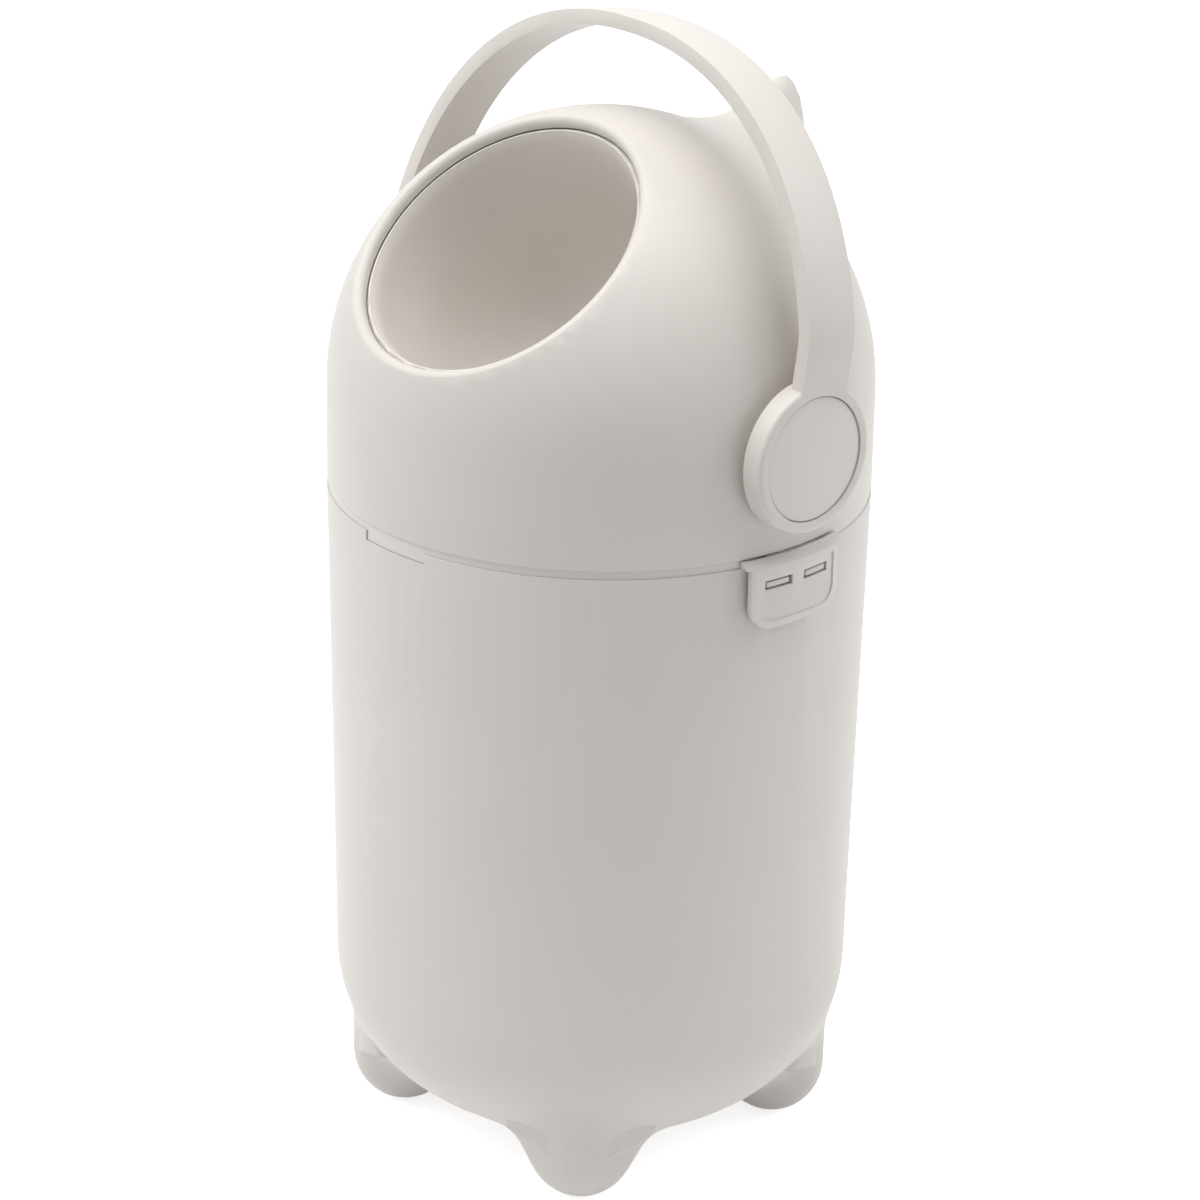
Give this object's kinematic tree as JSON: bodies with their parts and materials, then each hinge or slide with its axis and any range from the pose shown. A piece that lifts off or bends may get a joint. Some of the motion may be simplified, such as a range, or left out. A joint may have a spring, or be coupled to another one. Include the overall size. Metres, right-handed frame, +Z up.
{
  "type": "nappy bin",
  "caption": "Round floor-standing nappy bin on four moulded feet, with a hinged dome lid, a ball drum with a bowl turned by a U-shaped handle, and a snap latch.",
  "frame": {"origin": "on the floor under the axis of the bin, at the centre of the whole object's base", "axes": "+Z up; the mouth faces -Y; the latch is on +X and the lid's hinge on -X"},
  "size_m": [0.3052, 0.28, 0.602],
  "materials": {
    "shell_plastic": "fine satin moulded polypropylene",
    "trim_plastic": "smooth satin moulded plastic",
    "seal_rubber": "soft matt thermoplastic rubber",
    "steel": "zinc plated"
  },
  "bodies": {
    "bin": {"bin_body": "shell_plastic", "bag_ring": "trim_plastic", "hinge_pin": "steel"},
    "lid": {"dome": "shell_plastic", "mouth_seal": "seal_rubber", "throat_ring": "trim_plastic", "throat_seal": "seal_rubber", "throat_screws": "steel", "bush_left": "trim_plastic", "bush_right": "trim_plastic"},
    "drum": {"handle": "shell_plastic", "hub_cap_left": "trim_plastic", "hub_cap_right": "trim_plastic", "hub_screws": "steel", "axle_left": "trim_plastic", "axle_right": "trim_plastic", "axle_screws": "steel", "drum_front": "shell_plastic", "drum_back": "shell_plastic", "bowl": "shell_plastic", "bowl_screws": "steel"},
    "latch": {"latch_flap": "trim_plastic"}
  },
  "joints": [
    {"name": "lid_hinge", "type": "hinge", "parent": "bin", "child": "lid", "pos_m": [-0.146, 0, 0.3622], "axis": [0, -1, 0], "range_deg": [0, 100]},
    {"name": "handle_turn", "type": "hinge", "parent": "lid", "child": "drum", "pos_m": [0, 0, 0.4139], "axis": [1, 0, 0], "range_deg": [0, 130]},
    {"name": "flap_hinge", "type": "hinge", "parent": "lid", "child": "latch", "pos_m": [0.1383, 0, 0.3621], "axis": [0, -1, 0], "range_deg": [0, 20]}
  ]
}
